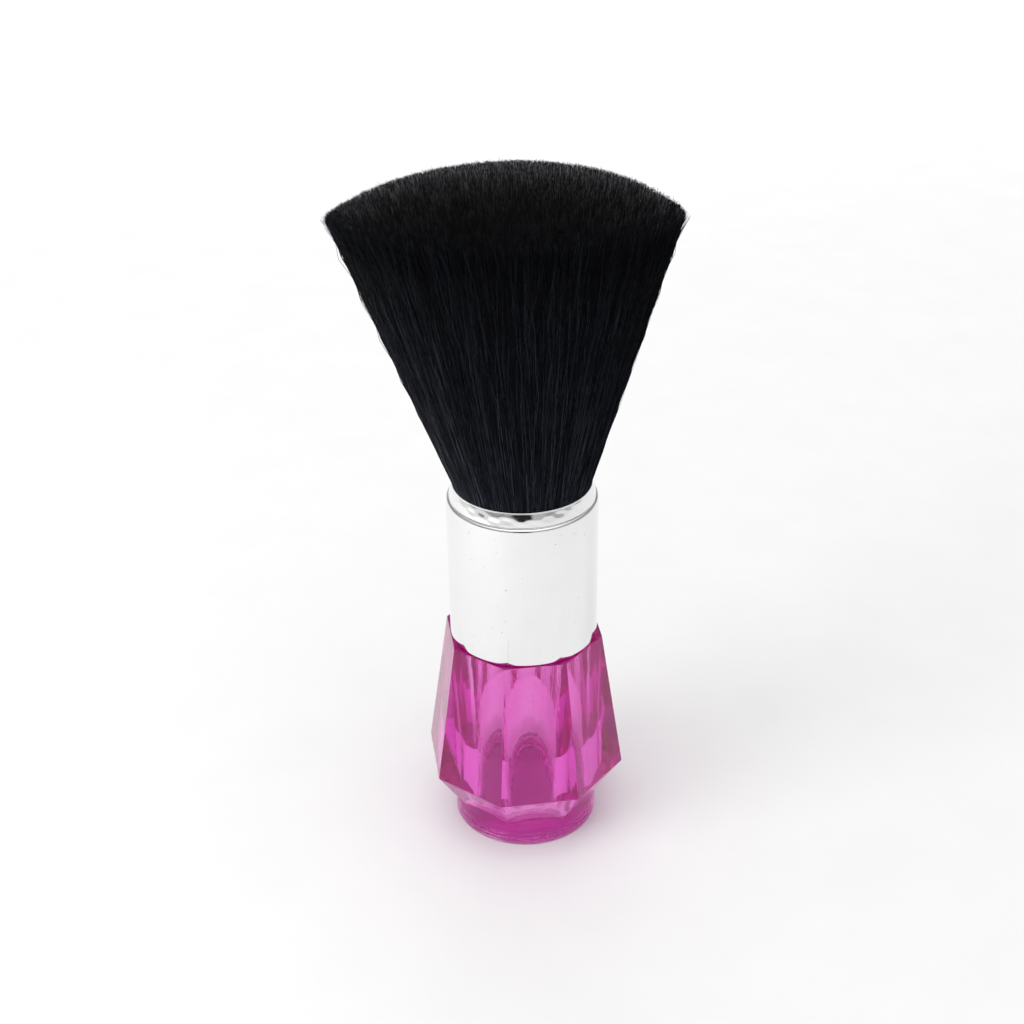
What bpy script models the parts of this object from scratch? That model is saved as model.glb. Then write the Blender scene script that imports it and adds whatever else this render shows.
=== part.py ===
"""Neck duster brush: clear faceted acrylic handle, polished ferrule and a fanned tuft of nylon fibre.

Metres, +Z up. The origin is the centre of the foot's flat underside, and +Z runs up the handle's
axis to the fibre tips. The front is towards -Y. The tuft is wide along X and shallow along Y.
"""

import math

import bmesh
import bpy

# Handle: an octagonal body that widens downwards, chamfered in to a round foot.
FACETS = 8
FACET_TURN = math.radians(-14.0)      # first facet corner, measured from -Y towards +X
RIM_HEIGHT = 0.0544
RIM_RADIUS = 0.0196                   # corner radius of the flat rim the ferrule stands on
WIDEST_HEIGHT = 0.0174
WIDEST_RADIUS = 0.0252
CHAMFER_HEIGHT = 0.0052               # the chamfer runs on down inside the round foot
CHAMFER_RADIUS = 0.0173
FOOT_RADIUS = 0.0180
FOOT_HEIGHT = 0.0100
FOOT_EDGE = 0.0004

# Handle bore: a round blind hollow that tapers down from the rim, with a bevelled floor corner.
BORE_FLOOR = 0.0039
BORE_FLOOR_RADIUS = 0.0102
BORE_BEVEL_TOP = 0.0064
BORE_RADIUS = 0.0122
BORE_MOUTH_RADIUS = 0.0158            # from the rim up through the neck
BORE_OVERSHOOT = 0.0100               # how far the bore's guide runs on above the neck

# Neck: the round spigot inside the ferrule, with a groove that holds the adhesive.
NECK_RADIUS = 0.0171
NECK_TOP = 0.0660
NECK_OVERLAP = 0.0004                 # how far the neck runs down inside the body
GROOVE_RADIUS = 0.0165
GROOVE_BOTTOM = 0.0578
GROOVE_TOP = 0.0612

# Ferrule: a drawn tube with its top edge rolled in to a lip.
FERRULE_RADIUS = 0.0180
FERRULE_WALL = 0.0005
SHOULDER_HEIGHT = 0.0908
SHOULDER_STEP = 0.0002
LIP_HEIGHT = 0.0953
LIP_RADIUS = 0.0166
LIP_ARC_STEPS = 6

# Pieces sealed inside the ferrule.
GAP = 0.0003                          # clearance between neighbouring pieces
RESIN_TOP = 0.0790
RESIN_WALL = 0.0011
RESIN_FLOOR = 0.0050
THREAD_TURNS = 4
THREAD_RADIUS = 0.0004
THREAD_SIDES = 4

# Tuft: round where it leaves the lip, oval and wide at the tips, with a domed top.
ROOT_RADIUS = 0.0158
TUFT_LIP_RADIUS = LIP_RADIUS - GAP
CORNER_HEIGHT = 0.1599
HEAD_HALF_WIDTH = 0.0385
HEAD_HALF_DEPTH = 0.0212
HEAD_LEAN = -0.0030                   # the head's centre along X: the fibres lean to -X
HEAD_POINT = 1.75                     # outline power at the tips: 2 is an ellipse, less is pointed
DOME_RISE = 0.0097
DOME_POWER = 3.0
DOME_TILT = 0.10                      # the dome stands this share higher at +X, lower at -X
TUFT_LEVELS = 6
DOME_RINGS = 6

ROUND_SEGMENTS = 48


def clear_scene():
    for obj in list(bpy.data.objects):
        bpy.data.objects.remove(obj)


def material(name, colour, roughness, metallic=0.0, transmission=0.0):
    mat = bpy.data.materials.new(name)
    mat.use_nodes = True
    shader = mat.node_tree.nodes["Principled BSDF"]
    shader.inputs["Base Color"].default_value = (*colour, 1.0)
    shader.inputs["Roughness"].default_value = roughness
    shader.inputs["Metallic"].default_value = metallic
    shader.inputs["Transmission Weight"].default_value = transmission
    return mat


def acrylic_material():
    return material("magenta_acrylic", (0.72, 0.10, 0.48), 0.03, transmission=1.0)


def polished_material():
    return material("polished_aluminium", (0.91, 0.91, 0.92), 0.08, metallic=1.0)


def adhesive_material():
    return material("clear_adhesive", (0.80, 0.78, 0.70), 0.25)


def resin_material():
    return material("root_resin", (0.55, 0.42, 0.22), 0.30)


def thread_material():
    return material("binding_thread", (0.75, 0.72, 0.66), 0.85)


def fibre_material():
    return material("black_nylon", (0.010, 0.012, 0.018), 0.45)


def add_object(name, mesh_builder, mat=None):
    """Turn a filled bmesh into a linked object with outward faces."""
    bmesh.ops.recalc_face_normals(mesh_builder, faces=mesh_builder.faces)
    mesh = bpy.data.meshes.new(name)
    mesh_builder.to_mesh(mesh)
    mesh_builder.free()
    obj = bpy.data.objects.new(name, mesh)
    bpy.context.scene.collection.objects.link(obj)
    if mat:
        mesh.materials.append(mat)
    return obj


def shade_round(obj, sharp_degrees=35.0):
    obj.data.shade_smooth()
    obj.data.set_sharp_from_angle(angle=math.radians(sharp_degrees))


def circle_points(radius, height, count=ROUND_SEGMENTS, turn=0.0):
    """Points round the Z axis, the first at -Y and then towards +X."""
    angles = [turn + 2 * math.pi * i / count for i in range(count)]
    return [(radius * math.sin(a), -radius * math.cos(a), height) for a in angles]


def bridge_rings(builder, lower, upper):
    count = len(lower)
    for i in range(count):
        j = (i + 1) % count
        builder.faces.new((lower[i], lower[j], upper[j], upper[i]))


def stacked_solid(name, outlines, mat=None):
    """A closed solid through a stack of outlines that all have the same number of points."""
    builder = bmesh.new()
    rings = [[builder.verts.new(point) for point in outline] for outline in outlines]
    for lower, upper in zip(rings, rings[1:]):
        bridge_rings(builder, lower, upper)
    builder.faces.new(rings[0])
    builder.faces.new(rings[-1])
    return add_object(name, builder, mat)


def turned_ring(name, profile, mat):
    """A ring-shaped solid: a closed (radius, height) profile turned round Z."""
    builder = bmesh.new()
    rings = [[builder.verts.new(p) for p in circle_points(r, z)] for r, z in profile]
    for lower, upper in zip(rings, rings[1:] + rings[:1]):
        bridge_rings(builder, lower, upper)
    obj = add_object(name, builder, mat)
    shade_round(obj)
    return obj


def boolean(target, cutter, operation):
    cutter.hide_render = True
    cutter.display_type = "WIRE"
    modifier = target.modifiers.new(cutter.name, "BOOLEAN")
    modifier.object = cutter
    modifier.operation = operation
    modifier.solver = "EXACT"


def build_handle():
    octagon_rings = ((CHAMFER_RADIUS, CHAMFER_HEIGHT),
                     (WIDEST_RADIUS, WIDEST_HEIGHT),
                     (RIM_RADIUS, RIM_HEIGHT))
    outlines = [circle_points(r, z, FACETS, FACET_TURN) for r, z in octagon_rings]
    handle = stacked_solid("handle_body", outlines, acrylic_material())

    foot_rings = ((FOOT_RADIUS - FOOT_EDGE, 0.0),
                  (FOOT_RADIUS, FOOT_EDGE),
                  (FOOT_RADIUS, FOOT_HEIGHT))
    foot = stacked_solid("foot_guide", [circle_points(r, z) for r, z in foot_rings])

    neck_rings = ((NECK_RADIUS, RIM_HEIGHT - NECK_OVERLAP),
                  (NECK_RADIUS, GROOVE_BOTTOM),
                  (GROOVE_RADIUS, GROOVE_BOTTOM),
                  (GROOVE_RADIUS, GROOVE_TOP),
                  (NECK_RADIUS, GROOVE_TOP),
                  (NECK_RADIUS, NECK_TOP))
    neck = stacked_solid("neck_guide", [circle_points(r, z) for r, z in neck_rings])

    bore_rings = ((BORE_FLOOR_RADIUS, BORE_FLOOR),
                  (BORE_RADIUS, BORE_BEVEL_TOP),
                  (BORE_MOUTH_RADIUS, RIM_HEIGHT),
                  (BORE_MOUTH_RADIUS, NECK_TOP + BORE_OVERSHOOT))
    bore = stacked_solid("bore_cutter", [circle_points(r, z) for r, z in bore_rings])

    boolean(handle, foot, "UNION")
    boolean(handle, neck, "UNION")
    boolean(handle, bore, "DIFFERENCE")
    return handle


def lip_arc(outer_radius, inner_radius, start_height, top_height):
    """A quarter ellipse that rolls in from the tube wall to the lip."""
    points = []
    for i in range(LIP_ARC_STEPS + 1):
        angle = 0.5 * math.pi * i / LIP_ARC_STEPS
        radius = inner_radius + (outer_radius - inner_radius) * math.cos(angle)
        height = start_height + (top_height - start_height) * math.sin(angle)
        points.append((radius, height))
    return points


def build_ferrule():
    bottom = RIM_HEIGHT + GAP
    inner_radius = FERRULE_RADIUS - FERRULE_WALL
    outside = [(FERRULE_RADIUS, bottom), (FERRULE_RADIUS, SHOULDER_HEIGHT)]
    outside += lip_arc(FERRULE_RADIUS - SHOULDER_STEP, LIP_RADIUS, SHOULDER_HEIGHT, LIP_HEIGHT)
    inside = lip_arc(inner_radius - SHOULDER_STEP, LIP_RADIUS,
                     SHOULDER_HEIGHT, LIP_HEIGHT - FERRULE_WALL)
    profile = outside + list(reversed(inside)) + [(inner_radius, SHOULDER_HEIGHT - FERRULE_WALL),
                                                  (inner_radius, bottom)]
    return turned_ring("ferrule", profile, polished_material())


def build_adhesive():
    inner = GROOVE_RADIUS + GAP
    outer = FERRULE_RADIUS - FERRULE_WALL - GAP
    low = GROOVE_BOTTOM + GAP
    high = GROOVE_TOP - GAP
    profile = [(outer, low), (outer, high), (inner, high), (inner, low)]
    return turned_ring("neck_adhesive", profile, adhesive_material())


def build_resin_cup():
    """The block of resin that the fibre roots are set in: a cup with its mouth up."""
    outer = FERRULE_RADIUS - FERRULE_WALL - GAP
    inner = outer - RESIN_WALL
    floor = NECK_TOP + GAP
    builder = bmesh.new()
    rings = [[builder.verts.new(p) for p in circle_points(r, z)]
             for r, z in ((outer, floor), (outer, RESIN_TOP),
                          (inner, RESIN_TOP), (inner, floor + RESIN_FLOOR))]
    for lower, upper in zip(rings, rings[1:]):
        bridge_rings(builder, lower, upper)
    builder.faces.new(rings[0])
    builder.faces.new(rings[-1])
    cup = add_object("root_resin", builder, resin_material())
    shade_round(cup)
    return cup


def build_thread():
    """The binding thread: turns wound side by side round the fibre roots, as one ribbed band."""
    centre = ROOT_RADIUS + GAP + THREAD_RADIUS
    start = RESIN_TOP + GAP + THREAD_RADIUS
    outside = []
    for turn in range(THREAD_TURNS):
        middle = start + 2 * THREAD_RADIUS * turn
        for step in range(THREAD_SIDES):
            angle = math.pi * ((step + 0.5) / THREAD_SIDES - 0.5)
            outside.append((centre + THREAD_RADIUS * math.cos(angle),
                            middle + THREAD_RADIUS * math.sin(angle)))
    inner = centre - THREAD_RADIUS
    profile = outside + [(inner, outside[-1][1]), (inner, outside[0][1])]
    return turned_ring("binding_thread", profile, thread_material())


def tuft_outline(share, size=1.0):
    """Points (x, y) round the tuft from the lip (share 0) to the head's edge (share 1)."""
    half_width = TUFT_LIP_RADIUS + (HEAD_HALF_WIDTH - TUFT_LIP_RADIUS) * share
    half_depth = TUFT_LIP_RADIUS + (HEAD_HALF_DEPTH - TUFT_LIP_RADIUS) * share
    power = 2.0 + (HEAD_POINT - 2.0) * share
    points = []
    for x, y, _ in circle_points(1.0, 0.0):
        reach = size * (abs(x) ** power + abs(y) ** power) ** (-1.0 / power)
        points.append((HEAD_LEAN * share + half_width * reach * x, half_depth * reach * y))
    return points


def dome_height(x, size):
    across = (x - HEAD_LEAN) / HEAD_HALF_WIDTH
    return CORNER_HEIGHT + DOME_RISE * (1.0 - size ** DOME_POWER) * (1.0 + DOME_TILT * across)


def build_tuft():
    root_bottom = NECK_TOP + GAP + RESIN_FLOOR + GAP
    outlines = [circle_points(ROOT_RADIUS, root_bottom),
                circle_points(ROOT_RADIUS, SHOULDER_HEIGHT)]
    for level in range(TUFT_LEVELS + 1):
        share = level / TUFT_LEVELS
        height = LIP_HEIGHT + (CORNER_HEIGHT - LIP_HEIGHT) * share
        outlines.append([(x, y, height) for x, y in tuft_outline(share)])
    for ring in range(1, DOME_RINGS + 1):
        size = 1.0 - ring / (DOME_RINGS + 1)
        outlines.append([(x, y, dome_height(x, size)) for x, y in tuft_outline(1.0, size)])
    tuft = stacked_solid("bristle_tuft", outlines, fibre_material())
    shade_round(tuft)
    return tuft


def main():
    clear_scene()
    build_handle()
    build_ferrule()
    build_adhesive()
    build_resin_cup()
    build_thread()
    build_tuft()


main()
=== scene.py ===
"""Looks of the neck duster brush: clear faceted handle, polished ferrule and black nylon tuft.

Metres, +Z up, the CAD's own frame. The front is towards -Y and the tuft is wide along X.
"""

import math

import bmesh
import bpy
import numpy as np
from mathutils import Matrix, Vector


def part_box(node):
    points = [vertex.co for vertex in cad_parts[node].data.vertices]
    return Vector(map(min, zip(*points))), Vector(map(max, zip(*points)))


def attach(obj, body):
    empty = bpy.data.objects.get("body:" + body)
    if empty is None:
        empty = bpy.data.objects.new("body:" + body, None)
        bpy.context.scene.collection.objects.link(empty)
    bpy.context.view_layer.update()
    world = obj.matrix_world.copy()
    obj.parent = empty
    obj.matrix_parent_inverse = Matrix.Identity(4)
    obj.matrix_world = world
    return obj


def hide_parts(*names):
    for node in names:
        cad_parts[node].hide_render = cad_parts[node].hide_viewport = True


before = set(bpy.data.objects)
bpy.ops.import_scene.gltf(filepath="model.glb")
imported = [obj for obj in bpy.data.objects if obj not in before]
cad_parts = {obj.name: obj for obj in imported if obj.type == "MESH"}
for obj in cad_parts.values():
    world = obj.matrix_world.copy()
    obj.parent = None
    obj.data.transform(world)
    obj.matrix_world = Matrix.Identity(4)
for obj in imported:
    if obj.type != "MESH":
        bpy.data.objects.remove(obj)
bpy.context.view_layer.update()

BODY = "root"
MM = 0.001

handle_low, handle_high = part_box("handle_body")
ferrule_low, ferrule_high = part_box("ferrule")
tuft_low, tuft_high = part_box("bristle_tuft")

# Handle, as in the CAD: an octagon that widens downwards, then a chamfer in to a round foot.
GAP = 0.3 * MM                        # clearance between the CAD's pieces
FACETS = 8
FACET_TURN = math.radians(-14.0)
RIM_HEIGHT = ferrule_low.z - GAP
RIM_RADIUS = 19.6 * MM
WIDEST_HEIGHT = 17.4 * MM
WIDEST_RADIUS = 25.2 * MM
CHAMFER_HEIGHT = 5.2 * MM
CHAMFER_RADIUS = 17.3 * MM
FOOT_RADIUS = 18.0 * MM
FOOT_HEIGHT = 10.0 * MM
FOOT_EDGE = 0.45 * MM
FOOT_EDGE_STEPS = 5
FOOT_GROOVES = (11.8 * MM, 14.4 * MM, 16.4 * MM)      # radii of the turned grooves underneath
FOOT_GROOVE_MOUTH = 0.7 * MM          # half the groove's width at its mouth
FOOT_GROOVE_FLOOR = 0.4 * MM          # half its width at its bottom
FOOT_GROOVE_DEPTH = 0.6 * MM
FACET_EDGE = 0.14 * MM                # width of the rounding along each facet edge
BORE_FLOOR = 3.9 * MM
BORE_FLOOR_RADIUS = 10.2 * MM
BORE_BEVEL_TOP = 6.4 * MM
BORE_RADIUS = 12.2 * MM
BORE_MOUTH_RADIUS = 15.8 * MM
BORE_FILLET = 0.4 * MM
BORE_FILLET_STEPS = 5
BORE_OVERSHOOT = 10.0 * MM            # how far the cutting solid goes on past the neck's top
CORNER_SHADE_WIDTH = 0.5 * MM            # reach of the painted dark ring of shade at each corner of the bore
NECK_SINK = 0.9 * MM                  # how far the neck starts below the faceted rim
NECK_RADIUS = 17.1 * MM
NECK_TOP = handle_high.z
GROOVE_RADIUS = 16.5 * MM
GROOVE_BOTTOM = 57.8 * MM
GROOVE_TOP = 61.2 * MM
FINE_SEGMENTS = 256                   # of every round shape

# Ferrule: a drawn tube with a fine groove under the rolled-in lip.
FERRULE_RADIUS = (ferrule_high.x - ferrule_low.x) / 2
FERRULE_WALL = 0.5 * MM
FERRULE_EDGE = 0.15 * MM              # chamfer of the lower rim
SHOULDER_HEIGHT = ferrule_high.z - 4.5 * MM
SHOULDER_TOP = ferrule_high.z - 3.6 * MM
SHOULDER_ROUND = 0.66 * MM
SHOULDER_STRETCH = 1.4                # height of the shoulder's rounding over its width
SHOULDER_STEPS = 6
GROOVE_LINE_RADIUS = 17.36 * MM       # fine groove between the tube's shoulder and the lip
GROOVE_LINE_DEPTH = 0.24 * MM
LIP_RADIUS = 16.6 * MM
LIP_EDGE_RADIUS = 16.45 * MM          # the curled edge comes a little further in than the CAD's lip
LIP_STEPS = 30
LIP_HOOK = 0.28                       # share of the lip's inward roll that is kept for its top
LIP_HOOK_POWER = 3.0
LIP_CURL = 0.28 * MM                  # radius of the lip's rolled top edge
LIP_CURL_STEPS = 5
LIP_DENTS = 0.030 * MM                # depth of the lip's waves
LIP_WAVES = ((1.0, 5, 0.6, 4.0), (0.7, 11, 2.1, -7.0), (0.5, 23, 4.0, 9.0))   # see dent()
HAIRLINE_X = -3.7 * MM                # place of the scratch up the front
HAIRLINE_TOP = 62.0 * MM
HAIRLINE_HALF_WIDTH = 0.07 * MM
HAIRLINE_WAVER = 0.05 * MM
HAIRLINE_WAVES = 900.0                # radians of waver per metre of height
HAIRLINE_DARKENING = 0.16

# Tuft: round at the lip, oval and pointed at the tips, with a domed top.
LIP_HEIGHT = ferrule_high.z
TUFT_LIP_RADIUS = LIP_RADIUS - GAP
ROOT_RADIUS = 15.8 * MM
ROOT_HEIGHT = 86.0 * MM
HEAD_HALF_WIDTH = (tuft_high.x - tuft_low.x) / 2
HEAD_HALF_DEPTH = (tuft_high.y - tuft_low.y) / 2
HEAD_LEAN = (tuft_high.x + tuft_low.x) / 2
HEAD_POINT = 1.75                     # power of the head's outline: 2 is an ellipse, less is pointed
DOME_RISE = 9.7 * MM
DOME_POWER = 3.0                      # the higher, the flatter the dome's middle
DOME_TILT = 0.10                      # share by which the dome rises more towards +X
CORNER_HEIGHT = tuft_high.z - DOME_RISE
CORE_SIZE = 0.93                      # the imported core's share of the tuft's outline
CORE_DROP = 2.6 * MM                  # how far the core stays below the cut ends
CORE_LEVELS = 12
CORE_SEGMENTS = 96

# Fibres
SEED = 7
SHELL_FIBRES = 14000
SHELL_BUNDLES = 4
TIP_FIBRES = 24000
TIP_BUNDLES = 2
FIBRE_RADIUS = 0.055 * MM
FIBRE_SIDES = 3
SIDE_HINT = (0.0, 1.0, 0.13)          # a direction that no fibre follows, to turn its sides from
CLUMPS = 420
CLUMP_SPREAD = 1.05                   # squared reach of the clump centres; the tuft's outline is 1
CLUMP_PULL = 0.35                     # share of the way to its clump that a fibre is drawn
CLUMP_GATHER = 0.7                    # below 1 the clumps hold together nearer the lip and the tips
CROSSING = 0.12                       # spread, in radians, of the fibres' slant round the tuft
SWAY_TURNS = (1.0, 4.5)               # fewest and most waves along a fibre
SWAY_GROWTH = 0.8
SPLAY_GROWTH = 9                      # high, so that only a fibre's last stretch splays out
SHELL_THICKNESS = 0.09                # depth of the outer layer, as a share of the tuft's outline
CORNER_SHARE = 0.12                   # share of the outer fibres that fill the head's two corners
CORNER_SPREAD = 0.12                  # in radians

# Camera, at the photograph's viewing angle.
CAMERA_DISTANCE = 340.7 * MM
CAMERA_HEIGHT = 278.6 * MM
CAMERA_PITCH = math.radians(29.42)
CAMERA_YAW = math.radians(-0.415)
CAMERA_ROLL = math.radians(-0.84)
SENSOR_WIDTH = 36.0                   # in millimetres, like the lens
LENS = 58.16

# Light: a large soft panel above the object, in a dimmer room with a dark figure in front.
HORIZON_LIGHT = 0.38
ROOM_PATCHES = 0.25                   # how much lighter or darker the room's soft patches are
ROOM_NOISE = (0.38, 0.62)             # noise values of the darkest and the lightest patches
ROOM_NOISE_SCALE = 2.8
ROOM_NOISE_DETAIL = 1.5
PANEL_LIGHT = 1.58
PANEL_EDGE = 0.5                      # cosine of the angle from the panel's axis where it fades out
PANEL_TILT = math.radians(12.0)       # the panel's axis leans from +Z towards the front
VIEWER_HEIGHT = math.radians(14.0)    # elevation of the dark figure
VIEWER_REACH = math.radians(17.0)
VIEWER_CORE = 0.7                     # share of the reach inside which the figure is darkest
VIEWER_LIGHT = 0.04
GLASS_BOUNCES = 24
FLOOR_SIZE = 14.0
FLOOR_DROP = 0.05 * MM                # the floor lies just under the foot


# ---------------------------------------------------------------- meshes

def add_mesh(name, builder, mat=None):
    mesh = bpy.data.meshes.new(name)
    builder.to_mesh(mesh)
    builder.free()
    obj = bpy.data.objects.new(name, mesh)
    bpy.context.scene.collection.objects.link(obj)
    if mat:
        mesh.materials.append(mat)
    return obj


def circle_points(radius, height, count=FINE_SEGMENTS, turn=0.0):
    """Points round the Z axis, the first at -Y and then towards +X."""
    angles = [turn + 2 * math.pi * i / count for i in range(count)]
    return [(radius * math.sin(a), -radius * math.cos(a), height) for a in angles]


def bridge(builder, lower, upper):
    """Four-sided faces between two rings of vertices."""
    count = len(lower)
    for i in range(count):
        j = (i + 1) % count
        builder.faces.new((lower[i], lower[j], upper[j], upper[i]))


def stacked_solid(name, outlines, mat=None):
    """A closed solid through a stack of outlines that all have the same number of points."""
    builder = bmesh.new()
    rings = [[builder.verts.new(point) for point in outline] for outline in outlines]
    for lower, upper in zip(rings, rings[1:]):
        bridge(builder, lower, upper)
    builder.faces.new(rings[0])
    builder.faces.new(rings[-1])
    bmesh.ops.recalc_face_normals(builder, faces=builder.faces)
    return add_mesh(name, builder, mat)


def turned_ring(name, profile, mat):
    """A ring-shaped solid: a closed (radius, height) profile turned round Z."""
    builder = bmesh.new()
    rings = [[builder.verts.new(p) for p in circle_points(r, z)] for r, z in profile]
    for lower, upper in zip(rings, rings[1:] + rings[:1]):
        bridge(builder, lower, upper)
    bmesh.ops.recalc_face_normals(builder, faces=builder.faces)
    return add_mesh(name, builder, mat)


def shade_round(obj, sharp_degrees):
    """Smooth shading, except over edges sharper than the given angle."""
    obj.data.shade_smooth()
    obj.data.set_sharp_from_angle(angle=math.radians(sharp_degrees))


def keep_faces_flat(obj):
    """Takes each normal from the larger faces, so that only the narrow edge strips look curved."""
    weighted = obj.modifiers.new("normals", "WEIGHTED_NORMAL")
    weighted.mode = "FACE_AREA"
    weighted.weight = 100
    weighted.keep_sharp = True
    apply_modifiers(obj)


def apply_modifiers(obj):
    """Makes the object's modifiers part of its mesh."""
    graph = bpy.context.evaluated_depsgraph_get()
    graph.update()
    mesh = bpy.data.meshes.new_from_object(obj.evaluated_get(graph))
    obj.modifiers.clear()
    obj.data = mesh


def combine(target, other, operation):
    """Adds another solid to the target or takes it away, and deletes that solid."""
    modifier = target.modifiers.new("combine", "BOOLEAN")
    modifier.object = other
    modifier.operation = operation
    modifier.solver = "EXACT"
    apply_modifiers(target)
    bpy.data.objects.remove(other)


# ---------------------------------------------------------------- materials

NOISE_ROUGHNESS = 0.55
MIX_FACTOR, MIX_A, MIX_B, MIX_RESULT = 0, 6, 7, 2     # sockets of a Mix node that mixes colours


class Material:
    """A node material on a Principled shader, with short helpers for its textures."""

    def __init__(self, name):
        self.mat = bpy.data.materials.new(name)
        self.mat.use_nodes = True
        self.nodes = self.mat.node_tree.nodes
        self.links = self.mat.node_tree.links
        self.nodes.clear()
        self.output = self.nodes.new("ShaderNodeOutputMaterial")
        self.shader = self.nodes.new("ShaderNodeBsdfPrincipled")
        self.links.new(self.shader.outputs["BSDF"], self.output.inputs["Surface"])

    def set(self, **values):
        for name, value in values.items():
            self.shader.inputs[name.replace("_", " ")].default_value = value

    def link(self, source, socket):
        self.links.new(source, self.shader.inputs[socket])

    def coordinates(self, scale=(1.0, 1.0, 1.0)):
        """Object coordinates, which are metres in the CAD's frame."""
        place = self.nodes.new("ShaderNodeTexCoord")
        mapping = self.nodes.new("ShaderNodeMapping")
        mapping.inputs["Scale"].default_value = scale
        self.links.new(place.outputs["Object"], mapping.inputs["Vector"])
        return mapping.outputs["Vector"]

    def place(self):
        """The x, y and z of a point, in metres."""
        split = self.nodes.new("ShaderNodeSeparateXYZ")
        self.links.new(self.coordinates(), split.inputs["Vector"])
        return split.outputs

    def noise(self, scale, stretch=(1.0, 1.0, 1.0), detail=4.0):
        node = self.nodes.new("ShaderNodeTexNoise")
        node.inputs["Scale"].default_value = scale
        node.inputs["Detail"].default_value = detail
        node.inputs["Roughness"].default_value = NOISE_ROUGHNESS
        self.links.new(self.coordinates(stretch), node.inputs["Vector"])
        return node.outputs["Fac"]

    def ramp(self, source, stops):
        """A colour ramp, from (position, value or colour) pairs."""
        node = self.nodes.new("ShaderNodeValToRGB")
        elements = node.color_ramp.elements
        while len(elements) < len(stops):
            elements.new(0.5)
        for element, (position, value) in zip(elements, stops):
            element.position = position
            colour = (value, value, value) if isinstance(value, float) else value
            element.color = (*colour, 1.0)
        self.links.new(source, node.inputs["Fac"])
        return node.outputs["Color"]

    def math(self, operation, a, b=0.0):
        """A Math node on two numbers or outputs; a function of one number ignores b."""
        node = self.nodes.new("ShaderNodeMath")
        node.operation = operation
        for socket, value in zip(node.inputs, (a, b)):
            if isinstance(value, (int, float)):
                socket.default_value = value
            else:
                self.links.new(value, socket)
        return node.outputs["Value"]

    def hypot(self, a, b):
        squares = [self.math("MULTIPLY", value, value) for value in (a, b)]
        return self.math("SQRT", self.math("ADD", *squares))

    def mix(self, blend, a, b):
        """Full-strength blend of two colours or values."""
        node = self.nodes.new("ShaderNodeMix")
        node.data_type = "RGBA"
        node.blend_type = blend
        node.inputs[MIX_FACTOR].default_value = 1.0
        self.links.new(a, node.inputs[MIX_A])
        self.links.new(b, node.inputs[MIX_B])
        return node.outputs[MIX_RESULT]

    def bump(self, height, distance, strength=1.0, below=None):
        node = self.nodes.new("ShaderNodeBump")
        node.inputs["Strength"].default_value = strength
        node.inputs["Distance"].default_value = distance
        self.links.new(height, node.inputs["Height"])
        if below:
            self.links.new(below, node.inputs["Normal"])
        return node.outputs["Normal"]


def painted_corner_shade(look, radius, height):
    """Painted shade: a dark ring at a corner of the bore, standing in for the dark line that its edge
    shows: 1 away from it, less on it.
    """
    x, y, z = look.place()
    across = look.math("SUBTRACT", look.hypot(x, y), radius)
    along = look.math("SUBTRACT", z, height)
    share = look.math("DIVIDE", look.hypot(across, along), CORNER_SHADE_WIDTH)
    return look.ramp(share, [(0.55, 0.35), (1.0, 1.0)])


def acrylic_material():
    """Clear magenta acrylic: polished, with faint mould flow, fine handling marks, a faint painted
    magenta glow and painted dark rings of shade at the bore's lower corners.
    """
    look = Material("clear_acrylic")
    # The faint magenta emission is a painted glow that lifts the dark places where light runs long
    # inside the acrylic.
    look.set(IOR=1.49, Transmission_Weight=1.0,
             Emission_Color=(1.0, 0.0, 0.6, 1.0), Emission_Strength=0.03)
    marks = look.noise(900.0, stretch=(1.0, 1.0, 0.25), detail=6.0)
    tone = look.ramp(marks, [(0.3, (0.945, 0.79, 0.89)), (0.7, (0.945, 0.81, 0.89))])
    specks = look.ramp(look.noise(2300.0, detail=1.0), [(0.70, 1.0), (0.76, 0.5)])
    # rings is painted shade: dark rings at the two corners of the bore's floor.
    rings = look.math("MULTIPLY", painted_corner_shade(look, BORE_FLOOR_RADIUS, BORE_FLOOR),
                      painted_corner_shade(look, BORE_RADIUS, BORE_BEVEL_TOP))
    look.link(look.mix("MULTIPLY", tone, look.mix("MULTIPLY", specks, rings)), "Base Color")
    look.link(look.ramp(marks, [(0.35, 0.005), (0.62, 0.03), (0.75, 0.09)]), "Roughness")
    flow = look.noise(600.0, stretch=(1.0, 1.0, 0.03), detail=4.0)
    below = look.bump(flow, 0.10 * MM, 0.75)
    look.link(look.bump(marks, 0.004 * MM, 0.3, below), "Normal")
    absorb = look.nodes.new("ShaderNodeVolumeAbsorption")
    absorb.inputs["Color"].default_value = (0.86, 0.0, 0.76, 1.0)
    absorb.inputs["Density"].default_value = 87.0
    look.links.new(absorb.outputs["Volume"], look.output.inputs["Volume"])
    return look.mat


def polished_material():
    """Mirror-polished aluminium with soft haze and hair-fine scratches."""
    look = Material("polished_aluminium")
    look.set(Metallic=1.0)
    haze = look.noise(120.0, detail=3.0)
    tone = look.ramp(haze, [(0.3, (0.855, 0.855, 0.86)), (0.7, (0.88, 0.88, 0.885))])
    specks = look.ramp(look.noise(1500.0, detail=1.0), [(0.75, 1.0), (0.79, 0.45)])
    look.link(look.mix("MULTIPLY", tone, look.mix("MULTIPLY", specks, hairline(look))), "Base Color")
    scratches = look.noise(1400.0, stretch=(1.0, 1.0, 0.06), detail=5.0)
    rings = look.noise(500.0, stretch=(0.05, 0.05, 3.0), detail=4.0)
    rough = look.math("ADD", look.ramp(haze, [(0.3, 0.05), (0.75, 0.12)]),
                      look.ramp(scratches, [(0.66, 0.0), (0.74, 0.22)]))
    look.link(rough, "Roughness")
    below = look.bump(rings, 0.004 * MM, 0.3)
    look.link(look.bump(scratches, 0.003 * MM, 0.35, below), "Normal")
    return look.mat


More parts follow.
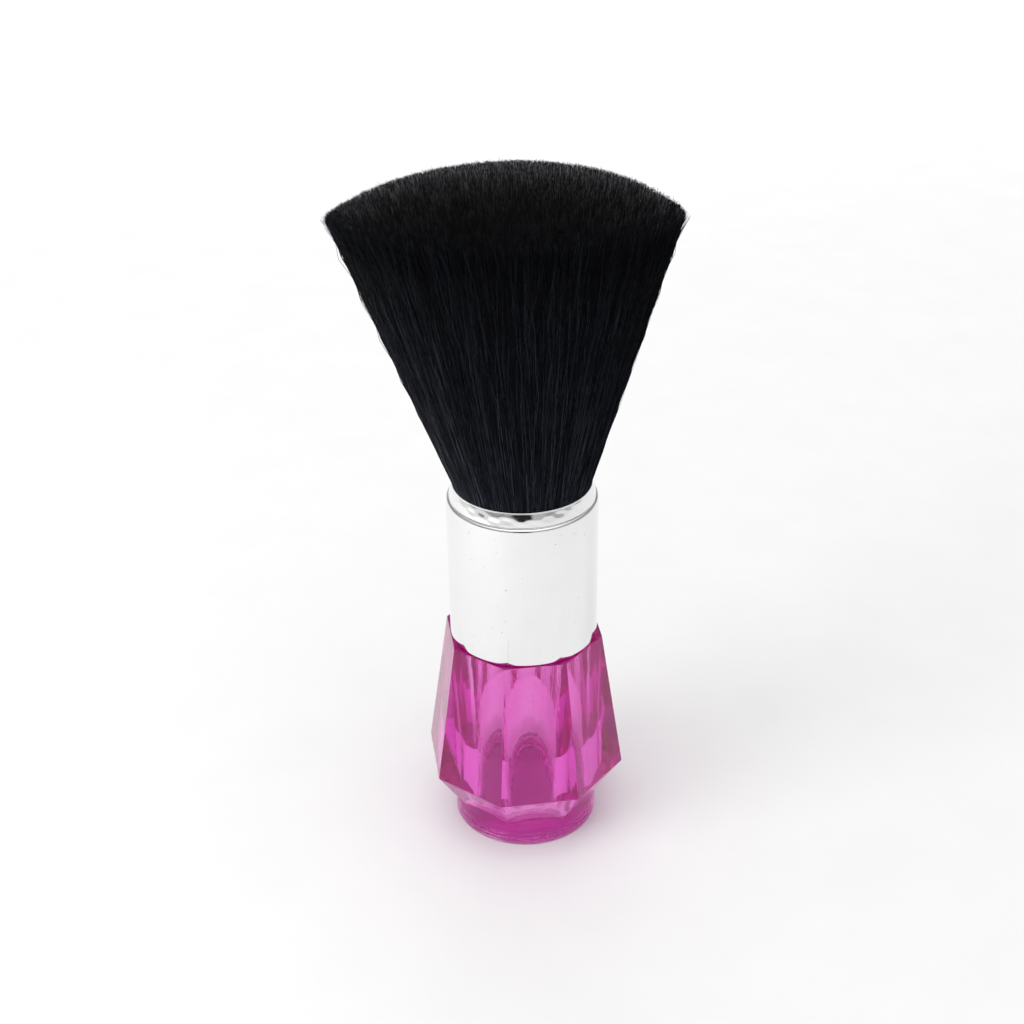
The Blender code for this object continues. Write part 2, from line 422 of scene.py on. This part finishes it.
def hairline(look):
    """A dark scratch up the front of the ferrule, near its lower rim: 1 outside it, less inside."""
    x, y, z = look.place()
    waves = look.math("SINE", look.math("MULTIPLY", z, HAIRLINE_WAVES))
    wavering_x = look.math("ADD", x, look.math("MULTIPLY", waves, HAIRLINE_WAVER))
    across = look.math("ABSOLUTE", look.math("SUBTRACT", wavering_x, HAIRLINE_X))
    inside = look.math("LESS_THAN", across, HAIRLINE_HALF_WIDTH)
    inside = look.math("MULTIPLY", inside, look.math("LESS_THAN", y, 0.0))
    inside = look.math("MULTIPLY", inside, look.math("LESS_THAN", z, HAIRLINE_TOP))
    return look.math("SUBTRACT", 1.0, look.math("MULTIPLY", inside, HAIRLINE_DARKENING))


AXIS_Y, AXIS_Z = 1, 2
FIBRE_SHADE_POWER = 4.5               # the higher, the fewer the light fibres


def fibre_material(name, dark, light, axis, ends, tone):
    """Black nylon fibre: each one a little different, with a soft sheen along its length.

    tone is a ramp of brightness along one of the object's axes, between the two heights or
    depths in ends.
    """
    look = Material(name)
    island = look.nodes.new("ShaderNodeNewGeometry").outputs["Random Per Island"]
    streak = look.noise(260.0, stretch=(1.0, 1.0, 0.12), detail=3.0)
    shade = look.math("MULTIPLY", look.math("POWER", island, FIBRE_SHADE_POWER),
                      look.math("MULTIPLY", streak, 2.0))
    along = look.math("DIVIDE", look.math("SUBTRACT", look.place()[axis], ends[0]), ends[1] - ends[0])
    colour = look.ramp(shade, [(0.02, dark), (0.85, light)])
    look.link(look.mix("MULTIPLY", colour, look.ramp(along, tone)), "Base Color")
    look.link(look.ramp(streak, [(0.3, 0.38), (0.7, 0.55)]), "Roughness")
    look.set(Specular_IOR_Level=0.09)
    fine = look.noise(5200.0, stretch=(1.0, 1.0, 0.2), detail=2.0)
    look.link(look.bump(fine, 0.01 * MM, 0.4), "Normal")
    return look.mat


def core_material():
    """The dark packed inside of the tuft, streaked along the fibres."""
    look = Material("packed_fibre")
    streak = look.noise(2600.0, stretch=(1.0, 1.0, 0.02), detail=3.0)
    look.link(look.ramp(streak, [(0.35, (0.002, 0.0022, 0.004)), (0.7, (0.006, 0.007, 0.013))]),
              "Base Color")
    look.link(look.ramp(streak, [(0.3, 0.6), (0.7, 0.8)]), "Roughness")
    look.set(Specular_IOR_Level=0.15)
    look.link(look.bump(streak, 0.15 * MM, 0.8), "Normal")
    return look.mat


def resin_material():
    """Amber casting resin, a little cloudy."""
    look = Material("root_resin")
    cloud = look.noise(180.0, detail=5.0)
    look.link(look.ramp(cloud, [(0.3, (0.42, 0.30, 0.14)), (0.7, (0.62, 0.50, 0.28))]), "Base Color")
    look.link(look.ramp(cloud, [(0.3, 0.2), (0.7, 0.4)]), "Roughness")
    look.link(look.bump(look.noise(700.0), 0.1 * MM, 0.4), "Normal")
    return look.mat


def adhesive_material():
    """Cream-coloured set adhesive."""
    look = Material("neck_adhesive")
    cloud = look.noise(400.0, detail=4.0)
    look.link(look.ramp(cloud, [(0.3, (0.72, 0.70, 0.62)), (0.7, (0.85, 0.83, 0.76))]), "Base Color")
    look.link(look.ramp(cloud, [(0.3, 0.2), (0.7, 0.45)]), "Roughness")
    look.link(look.bump(cloud, 0.08 * MM, 0.4), "Normal")
    return look.mat


def thread_material():
    """Off-white thread with its twist."""
    look = Material("binding_thread")
    twist = look.noise(2400.0, stretch=(1.0, 1.0, 2.5), detail=3.0)
    look.link(look.ramp(twist, [(0.3, (0.55, 0.52, 0.46)), (0.7, (0.82, 0.80, 0.74))]), "Base Color")
    look.link(look.ramp(twist, [(0.3, 0.75), (0.7, 0.95)]), "Roughness")
    look.link(look.bump(twist, 0.08 * MM, 0.8), "Normal")
    return look.mat


def floor_material():
    """Plain pale floor."""
    look = Material("studio_floor")
    grain = look.noise(40.0, detail=3.0)
    look.link(look.ramp(grain, [(0.3, (0.93, 0.93, 0.93)), (0.7, (0.95, 0.95, 0.95))]), "Base Color")
    look.set(Roughness=0.9, Specular_IOR_Level=0.1)
    return look.mat


# ---------------------------------------------------------------- handle

def faceted_body():
    """The octagonal body, with each edge rounded as a polished moulding's is."""
    rings = ((CHAMFER_RADIUS, CHAMFER_HEIGHT),
             (WIDEST_RADIUS, WIDEST_HEIGHT),
             (RIM_RADIUS, RIM_HEIGHT))
    outlines = [circle_points(r, z, FACETS, FACET_TURN) for r, z in rings]
    body = stacked_solid("handle_clear", outlines, acrylic_material())
    edges = body.modifiers.new("edges", "BEVEL")
    edges.width = FACET_EDGE
    edges.segments = 2
    edges.limit_method = "ANGLE"
    edges.angle_limit = math.radians(20.0)
    apply_modifiers(body)
    return body


def rounded_foot():
    """The round foot: fine turned grooves in its underside and a small radius round it."""
    groove_section = ((-FOOT_GROOVE_MOUTH, 0.0), (-FOOT_GROOVE_FLOOR, FOOT_GROOVE_DEPTH),
                      (FOOT_GROOVE_FLOOR, FOOT_GROOVE_DEPTH), (FOOT_GROOVE_MOUTH, 0.0))
    outlines = []
    for groove_radius in FOOT_GROOVES:
        outlines += [circle_points(groove_radius + offset, height)
                     for offset, height in groove_section]
    for i in range(FOOT_EDGE_STEPS + 1):
        angle = 0.5 * math.pi * i / FOOT_EDGE_STEPS
        outlines.append(circle_points(FOOT_RADIUS - FOOT_EDGE * (1 - math.sin(angle)),
                                      FOOT_EDGE * (1 - math.cos(angle))))
    outlines.append(circle_points(FOOT_RADIUS, FOOT_HEIGHT))
    return stacked_solid("foot", outlines)


def neck_solid():
    """The neck that goes up inside the ferrule, with the groove that the adhesive ring fills."""
    rings = ((NECK_RADIUS, RIM_HEIGHT - NECK_SINK), (NECK_RADIUS, GROOVE_BOTTOM),
             (GROOVE_RADIUS, GROOVE_BOTTOM), (GROOVE_RADIUS, GROOVE_TOP),
             (NECK_RADIUS, GROOVE_TOP), (NECK_RADIUS, NECK_TOP))
    return stacked_solid("neck", [circle_points(r, z) for r, z in rings])


def rounded_corner(before, corner, after):
    """Points of a small rounding at a corner of a (radius, height) profile."""
    before, corner, after = Vector(before), Vector(corner), Vector(after)
    start = corner + (before - corner).normalized() * BORE_FILLET
    end = corner + (after - corner).normalized() * BORE_FILLET
    points = []
    for i in range(BORE_FILLET_STEPS + 1):
        share = i / BORE_FILLET_STEPS
        curve = start * (1 - share) ** 2 + corner * 2 * share * (1 - share) + end * share * share
        points.append(tuple(curve))
    return points


def bore_solid():
    """The blind bore, tapered towards its bevelled floor."""
    corners = ((0.0, BORE_FLOOR), (BORE_FLOOR_RADIUS, BORE_FLOOR), (BORE_RADIUS, BORE_BEVEL_TOP),
               (BORE_MOUTH_RADIUS, RIM_HEIGHT))
    rings = []
    for before, corner, after in zip(corners, corners[1:], corners[2:]):
        rings += rounded_corner(before, corner, after)
    rings += [(BORE_MOUTH_RADIUS, RIM_HEIGHT), (BORE_MOUTH_RADIUS, NECK_TOP + BORE_OVERSHOOT)]
    return stacked_solid("bore", [circle_points(r, z) for r, z in rings])


def build_handle():
    handle = faceted_body()
    combine(handle, rounded_foot(), "UNION")
    combine(handle, neck_solid(), "UNION")
    combine(handle, bore_solid(), "DIFFERENCE")
    shade_round(handle, sharp_degrees=20)
    keep_faces_flat(handle)
    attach(handle, BODY)
    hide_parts("handle_body")


# ---------------------------------------------------------------- ferrule

def lip_profile():
    """The rolled-in lip from the fine groove up to its curled top edge, as (radius, height)."""
    start = SHOULDER_TOP + GROOVE_LINE_DEPTH
    top = LIP_HEIGHT - LIP_CURL
    points = []
    for i in range(LIP_STEPS + 1):
        share = i / LIP_STEPS
        roll = (1.0 - LIP_HOOK) * share + LIP_HOOK * share ** LIP_HOOK_POWER
        drawn_in = (GROOVE_LINE_RADIUS - LIP_EDGE_RADIUS - LIP_CURL / 2) * roll
        points.append((GROOVE_LINE_RADIUS - drawn_in, start + (top - start) * share))
    for i in range(1, LIP_CURL_STEPS + 1):
        angle = 0.5 * math.pi * i / LIP_CURL_STEPS
        points.append((LIP_EDGE_RADIUS + LIP_CURL / 2 * math.cos(angle),
                       top + LIP_CURL * math.sin(angle)))
    return points


def dent(angle, share):
    """Shallow hand-rolling waves of the lip: 0 at its groove and its top edge.

    Each of LIP_WAVES has a strength, its waves round the lip, a phase and a slant up the lip.
    """
    waves = sum(strength * math.sin(count * angle + phase + slant * share)
                for strength, count, phase, slant in LIP_WAVES)
    return LIP_DENTS * waves * math.sin(math.pi * share)


def outer_profile():
    """The ferrule's outside from its lower rim up to the fine groove, as (radius, height)."""
    bottom = ferrule_low.z
    points = [(FERRULE_RADIUS - FERRULE_EDGE, bottom), (FERRULE_RADIUS, bottom + FERRULE_EDGE)]
    for i in range(SHOULDER_STEPS + 1):
        angle = 0.5 * math.pi * i / SHOULDER_STEPS
        fall = SHOULDER_STRETCH * SHOULDER_ROUND * (1 - math.sin(angle))
        points.append((FERRULE_RADIUS - SHOULDER_ROUND * (1 - math.cos(angle)),
                       SHOULDER_TOP - fall))
    points.append((GROOVE_LINE_RADIUS - GROOVE_LINE_DEPTH, SHOULDER_TOP))
    return points


def inner_profile():
    """The ferrule's inside from under the lip down to its lower rim, as (radius, height)."""
    inner = FERRULE_RADIUS - FERRULE_WALL
    return [(LIP_EDGE_RADIUS, LIP_HEIGHT - FERRULE_WALL),
            (inner - SHOULDER_ROUND, SHOULDER_HEIGHT), (inner, SHOULDER_HEIGHT - FERRULE_WALL),
            (inner, ferrule_low.z)]


def dent_lip(ferrule, low, high):
    """Moves the outside of the lip, between two heights, in and out by its waves."""
    for vertex in ferrule.data.vertices:
        radius = math.hypot(vertex.co.x, vertex.co.y)
        share = (vertex.co.z - low) / (high - low)
        if 0.0 < share < 1.0 and radius > LIP_EDGE_RADIUS + LIP_CURL / 4:
            scale = 1.0 + dent(math.atan2(vertex.co.y, vertex.co.x), share) / radius
            vertex.co.x *= scale
            vertex.co.y *= scale


def build_ferrule():
    lip = lip_profile()
    profile = outer_profile() + lip + inner_profile()
    ferrule = turned_ring("ferrule_tube", profile, polished_material())
    dent_lip(ferrule, lip[0][1], lip[-1][1])
    shade_round(ferrule, sharp_degrees=30)
    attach(ferrule, BODY)
    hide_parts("ferrule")


# ---------------------------------------------------------------- tuft

def outline_reach(angle, power):
    """How far the tuft's outline reaches along each angle, on a half width and depth of 1."""
    return (np.abs(np.cos(angle)) ** power + np.abs(np.sin(angle)) ** power) ** (-1.0 / power)


def tuft_point(angle, size, share):
    """Position in the tuft: angle from +X, size 0 on the axis to 1 outside, share 0 lip to 1 tips."""
    half_width = TUFT_LIP_RADIUS + (HEAD_HALF_WIDTH - TUFT_LIP_RADIUS) * share
    half_depth = TUFT_LIP_RADIUS + (HEAD_HALF_DEPTH - TUFT_LIP_RADIUS) * share
    reach = size * outline_reach(angle, 2.0 + (HEAD_POINT - 2.0) * share)
    x = HEAD_LEAN * share + half_width * reach * np.cos(angle)
    y = half_depth * reach * np.sin(angle)
    return x, y


def dome_height(x, size):
    """Height of the head's domed top."""
    across = (x - HEAD_LEAN) / HEAD_HALF_WIDTH
    return CORNER_HEIGHT + DOME_RISE * (1.0 - size ** DOME_POWER) * (1.0 + DOME_TILT * across)


def fibre_mesh(name, paths, radii, mat):
    """One mesh of thin closed tubes. paths is (fibres, points, 3), radii (fibres, points)."""
    count, points, _ = paths.shape
    along = np.gradient(paths, axis=1)
    along /= np.linalg.norm(along, axis=2, keepdims=True)
    side = np.cross(along, np.array(SIDE_HINT))
    side /= np.linalg.norm(side, axis=2, keepdims=True)
    other = np.cross(along, side)
    ring = []
    for i in range(FIBRE_SIDES):
        turn = 2 * math.pi * i / FIBRE_SIDES
        ring.append(paths + radii[..., None] * (math.cos(turn) * side + math.sin(turn) * other))
    vertices = np.stack(ring, axis=2).reshape(-1, 3)

    start = (np.arange(count) * points * FIBRE_SIDES)[:, None, None]
    level = (np.arange(points - 1) * FIBRE_SIDES)[None, :, None]
    here = np.arange(FIBRE_SIDES)[None, None, :]
    after = (here + 1) % FIBRE_SIDES
    base = start + level
    quads = np.stack([base + here, base + after,
                      base + FIBRE_SIDES + after, base + FIBRE_SIDES + here], axis=-1)
    last = start[:, 0] + (points - 1) * FIBRE_SIDES
    tips = last + np.arange(FIBRE_SIDES)[None, :]
    roots = start[:, 0] + np.arange(FIBRE_SIDES)[None, ::-1]
    faces = [quads.reshape(-1, 4), tips, roots]
    loops = np.concatenate([group.ravel() for group in faces])
    totals = np.concatenate([np.full(len(group), group.shape[1]) for group in faces])
    first_loops = np.concatenate([[0], np.cumsum(totals)[:-1]])

    mesh = bpy.data.meshes.new(name)
    mesh.vertices.add(len(vertices))
    mesh.vertices.foreach_set("co", vertices.ravel())
    mesh.loops.add(len(loops))
    mesh.loops.foreach_set("vertex_index", loops.astype(np.int32))
    mesh.polygons.add(len(totals))
    mesh.polygons.foreach_set("loop_start", first_loops.astype(np.int32))
    mesh.polygons.foreach_set("use_smooth", np.ones(len(totals), dtype=bool))
    mesh.update(calc_edges=True)
    mesh.validate()
    obj = bpy.data.objects.new(name, mesh)
    bpy.context.scene.collection.objects.link(obj)
    mesh.materials.append(mat)
    return obj


def clump_pull(rng, angle, size):
    """Moves fibres part of the way to the nearest clump centre: their new angles and sizes."""
    centre_angle = rng.uniform(-math.pi, math.pi, CLUMPS)
    centre_size = np.sqrt(rng.uniform(0.0, CLUMP_SPREAD, CLUMPS))
    centre_x = centre_size * np.cos(centre_angle)
    centre_y = centre_size * np.sin(centre_angle)
    x, y = size * np.cos(angle), size * np.sin(angle)
    nearest = np.argmin((x[:, None] - centre_x) ** 2 + (y[:, None] - centre_y) ** 2, axis=1)
    pulled_x = x + (centre_x[nearest] - x) * CLUMP_PULL
    pulled_y = y + (centre_y[nearest] - y) * CLUMP_PULL
    return np.arctan2(pulled_y, pulled_x), np.minimum(np.hypot(pulled_x, pulled_y), 1.0)


def fibre_paths(rng, angle, size, levels, cut_spread, wave, stray):
    """Paths through the given shares of the way from the lip to the tip; below 0 is inside the lip.

    cut_spread is how unevenly the tips are cut, wave how far a fibre sways on its way up and stray
    how far its tip splays out. All three are standard deviations.
    """
    pulled_angle, pulled_size = clump_pull(rng, angle, size)
    tip_x, _ = tuft_point(angle, size, 1.0)
    short = np.abs(rng.normal(0.0, cut_spread, len(angle)))
    tip_height = dome_height(tip_x, size) - short
    phase = rng.uniform(0, 2 * math.pi, (2, len(angle)))
    turns = rng.uniform(*SWAY_TURNS, (2, len(angle)))
    crossing = rng.normal(0.0, CROSSING, len(angle))
    splay = rng.normal(0.0, stray, (2, len(angle)))
    sway = np.abs(rng.normal(0.0, wave, (2, len(angle))))
    points = []
    for share in levels:
        above_lip = max(share, 0.0)
        gather = math.sin(math.pi * above_lip) ** CLUMP_GATHER
        mid_angle = angle + np.angle(np.exp(1j * (pulled_angle - angle))) * gather
        mid_angle = mid_angle + crossing * (1.0 - above_lip)
        mid_size = size + (pulled_size - size) * gather
        x, y = tuft_point(mid_angle, mid_size, above_lip)
        if share < 0:
            x, y = x * ROOT_RADIUS / TUFT_LIP_RADIUS, y * ROOT_RADIUS / TUFT_LIP_RADIUS
        swing = above_lip ** SWAY_GROWTH
        bend = above_lip ** SPLAY_GROWTH
        waves = np.sin(phase + 2 * math.pi * turns * share)
        x = x + sway[0] * swing * waves[0] + splay[0] * bend
        y = y + sway[1] * swing * waves[1] + splay[1] * bend
        z = LIP_HEIGHT + (tip_height - LIP_HEIGHT) * share
        points.append(np.stack([x, y, z], axis=-1))
    return np.stack(points, axis=1)


def build_tuft_core(mat):
    """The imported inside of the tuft, a little inside the outer strands and the cut tips."""
    angles = np.linspace(-math.pi, math.pi, CORE_SEGMENTS, endpoint=False)
    root = ROOT_RADIUS * CORE_SIZE
    rings = [[(root * math.cos(a), root * math.sin(a), ROOT_HEIGHT) for a in angles]]
    for level in range(CORE_LEVELS + 1):
        share = level / CORE_LEVELS
        x, y = tuft_point(angles, CORE_SIZE, share)
        z = LIP_HEIGHT + (CORNER_HEIGHT - CORE_DROP - LIP_HEIGHT) * share
        rings.append([(px, py, z) for px, py in zip(x, y)])
    for level in range(1, CORE_LEVELS):
        size = CORE_SIZE * (1.0 - level / CORE_LEVELS)
        x, y = tuft_point(angles, size, 1.0)
        rings.append(list(zip(x, y, dome_height(x, size) - CORE_DROP)))
    core = stacked_solid("tuft_core", rings, mat)
    shade_round(core, sharp_degrees=40)
    return core


def strand_material():
    """The long fibres, darker towards their tips."""
    return fibre_material("black_nylon", (0.0036, 0.0043, 0.0090), (0.066, 0.074, 0.100),
                          AXIS_Z, (LIP_HEIGHT, CORNER_HEIGHT),
                          [(0.0, 1.0), (0.45, 0.55), (0.95, 0.30)])


def cut_end_material():
    """The fibres' cut ends, black at the front of the head and lighter further back with a painted
    sheen.
    """
    # The tone along Y is a painted sheen: it lightens the cut ends towards the back of the head.
    return fibre_material("black_nylon_cut_ends", (0.0080, 0.0082, 0.0100), (0.30, 0.30, 0.32),
                          AXIS_Y, (-HEAD_HALF_DEPTH, HEAD_HALF_DEPTH),
                          [(0.08, 0.03), (0.22, 0.12), (0.34, 0.26), (0.48, 0.55), (0.60, 0.95),
                           (1.0, 0.6)])


def outer_strands(rng, name, count, mat):
    """Fibres of the outer layer, from inside the lip to the head's edge."""
    levels = (-0.12, 0.0, 0.14, 0.28, 0.42, 0.57, 0.72, 0.87, 1.0)
    taper = np.array([1.0, 1.0, 1.0, 1.0, 1.0, 0.98, 0.92, 0.82, 0.6])
    angle = rng.uniform(-math.pi, math.pi, count)
    in_corner = rng.uniform(0, 1, count) < CORNER_SHARE
    toward_corner = rng.normal(0.0, CORNER_SPREAD, count) + math.pi * rng.integers(0, 2, count)
    angle = np.where(in_corner, toward_corner, angle)
    size = 1.0 - SHELL_THICKNESS * rng.uniform(0, 1, count) ** 1.4
    paths = fibre_paths(rng, angle, size, levels,
                        cut_spread=0.8 * MM, wave=0.50 * MM, stray=0.25 * MM)
    radii = FIBRE_RADIUS * rng.uniform(0.75, 1.2, count)[:, None] * taper
    return fibre_mesh(name, paths, radii, mat)


def cut_tips(rng, name, count, mat):
    """The last stretch of the inner fibres, which is all that shows of them."""
    levels = (0.90, 0.95, 1.0)
    taper = np.array([1.0, 0.9, 0.65])
    angle = rng.uniform(-math.pi, math.pi, count)
    size = np.sqrt(rng.uniform(0.0, 0.96, count))
    paths = fibre_paths(rng, angle, size, levels,
                        cut_spread=0.25 * MM, wave=0.4 * MM, stray=0.5 * MM)
    radii = FIBRE_RADIUS * rng.uniform(0.8, 1.25, count)[:, None] * taper
    return fibre_mesh(name, paths, radii, mat)


def build_tuft():
    rng = np.random.default_rng(SEED)
    strand = strand_material()
    cut_end = cut_end_material()
    pieces = [build_tuft_core(core_material())]
    for number in range(1, SHELL_BUNDLES + 1):
        count = SHELL_FIBRES // SHELL_BUNDLES
        pieces.append(outer_strands(rng, f"tuft_strands_{number}", count, strand))
    for number in range(1, TIP_BUNDLES + 1):
        count = TIP_FIBRES // TIP_BUNDLES
        pieces.append(cut_tips(rng, f"tuft_cut_tips_{number}", count, cut_end))
    for piece in pieces:
        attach(piece, BODY)
        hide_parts("bristle_tuft")


# ---------------------------------------------------------------- carried-over CAD nodes

def dress_node(node, mat):
    """Gives a CAD node that stays its own material."""
    obj = bpy.data.objects[node]
    obj.data.materials.clear()
    obj.data.materials.append(mat)


# ---------------------------------------------------------------- stage

def build_floor():
    builder = bmesh.new()
    bmesh.ops.create_grid(builder, x_segments=2, y_segments=2, size=FLOOR_SIZE / 2)
    floor = add_mesh("studio_floor", builder, floor_material())
    floor.location.z = handle_low.z - FLOOR_DROP


def area_light(name, location, target, size, watts):
    """A soft rectangular lamp, turned towards a point; polished surfaces don't mirror it."""
    data = bpy.data.lights.new(name, "AREA")
    data.shape = "RECTANGLE"
    data.size, data.size_y = size
    data.energy = watts
    light = bpy.data.objects.new(name, data)
    bpy.context.scene.collection.objects.link(light)
    light.location = location
    direction = Vector(target) - Vector(location)
    light.rotation_euler = direction.to_track_quat("-Z", "Y").to_euler()
    light.visible_glossy = False


def build_room():
    """The world's light: the panel above, dim patches round it and the dark figure in front."""
    world = bpy.data.worlds.new("studio")
    bpy.context.scene.world = world
    world.use_nodes = True
    nodes, links = world.node_tree.nodes, world.node_tree.links
    direction = nodes.new("ShaderNodeTexCoord").outputs["Generated"]

    def toward(axis):
        """Cosine of the angle between the direction of light and an axis."""
        node = nodes.new("ShaderNodeVectorMath")
        node.operation = "DOT_PRODUCT"
        node.inputs[1].default_value = axis
        links.new(direction, node.inputs[0])
        return node.outputs["Value"]

    def spread(value, start, end, low, high):
        """low below start and high above end, which each may be a number or another output."""
        node = nodes.new("ShaderNodeMapRange")
        for socket, source in (("Value", value), ("From Min", start), ("From Max", end),
                               ("To Min", low), ("To Max", high)):
            if isinstance(source, float):
                node.inputs[socket].default_value = source
            else:
                links.new(source, node.inputs[socket])
        return node.outputs["Result"]

    noise = nodes.new("ShaderNodeTexNoise")
    noise.inputs["Scale"].default_value = ROOM_NOISE_SCALE
    noise.inputs["Detail"].default_value = ROOM_NOISE_DETAIL
    links.new(direction, noise.inputs["Vector"])
    room = spread(noise.outputs["Fac"], *ROOM_NOISE,
                  HORIZON_LIGHT * (1 - ROOM_PATCHES), HORIZON_LIGHT * (1 + ROOM_PATCHES))
    panel_axis = (0.0, -math.sin(PANEL_TILT), math.cos(PANEL_TILT))
    light = spread(toward(panel_axis), PANEL_EDGE, 1.0, room, PANEL_LIGHT)
    viewer_axis = (0.0, -math.cos(VIEWER_HEIGHT), math.sin(VIEWER_HEIGHT))
    shade = spread(toward(viewer_axis), math.cos(VIEWER_REACH), math.cos(VIEWER_CORE * VIEWER_REACH),
                   1.0, VIEWER_LIGHT)
    strength = nodes.new("ShaderNodeMath")
    strength.operation = "MULTIPLY"
    links.new(light, strength.inputs[0])
    links.new(shade, strength.inputs[1])
    background = nodes["Background"]
    background.inputs["Color"].default_value = (1.0, 1.0, 1.0, 1.0)
    links.new(strength.outputs["Value"], background.inputs["Strength"])


def build_light():
    """The room's own light, a strip behind the object and a small box at its left."""
    build_room()
    area_light("back_strip", (0.0, 1.30, 0.55), (0.0, 0.0, 0.10), (1.4, 0.18), 4.0)
    area_light("left_box", (-0.50, -0.30, 0.42), (0.0, 0.0, 0.06), (0.35, 0.35), 1.4)


def allow_glass_bounces():
    """Lets light find its way out of the facets, which send it round inside many times."""
    cycles = bpy.context.scene.cycles
    cycles.glossy_bounces = GLASS_BOUNCES
    cycles.transmission_bounces = GLASS_BOUNCES
    cycles.max_bounces = GLASS_BOUNCES + 4


def build_camera():
    """The camera: it looks along +Y, turned by its yaw, down by its pitch and about its own axis."""
    pitch, yaw, roll = CAMERA_PITCH, CAMERA_YAW, CAMERA_ROLL
    ahead = Vector((math.sin(yaw) * math.cos(pitch), math.cos(yaw) * math.cos(pitch),
                    -math.sin(pitch)))
    level_right = ahead.cross(Vector((0, 0, 1))).normalized()
    level_up = level_right.cross(ahead)
    right = level_right * math.cos(roll) + level_up * math.sin(roll)
    up = level_up * math.cos(roll) - level_right * math.sin(roll)
    data = bpy.data.cameras.new("camera")
    data.sensor_width = SENSOR_WIDTH
    data.lens = LENS
    data.clip_start = 0.01
    camera = bpy.data.objects.new("camera", data)
    bpy.context.scene.collection.objects.link(camera)
    turn = Matrix((right, up, -ahead)).transposed().to_4x4()
    camera.matrix_world = Matrix.Translation((0, -CAMERA_DISTANCE, CAMERA_HEIGHT)) @ turn
    bpy.context.scene.camera = camera


build_camera()
build_light()
allow_glass_bounces()
build_floor()
build_handle()
build_ferrule()
build_tuft()
dress_node("neck_adhesive", adhesive_material())
dress_node("root_resin", resin_material())
dress_node("binding_thread", thread_material())
bpy.context.scene.view_settings.view_transform = "Standard"
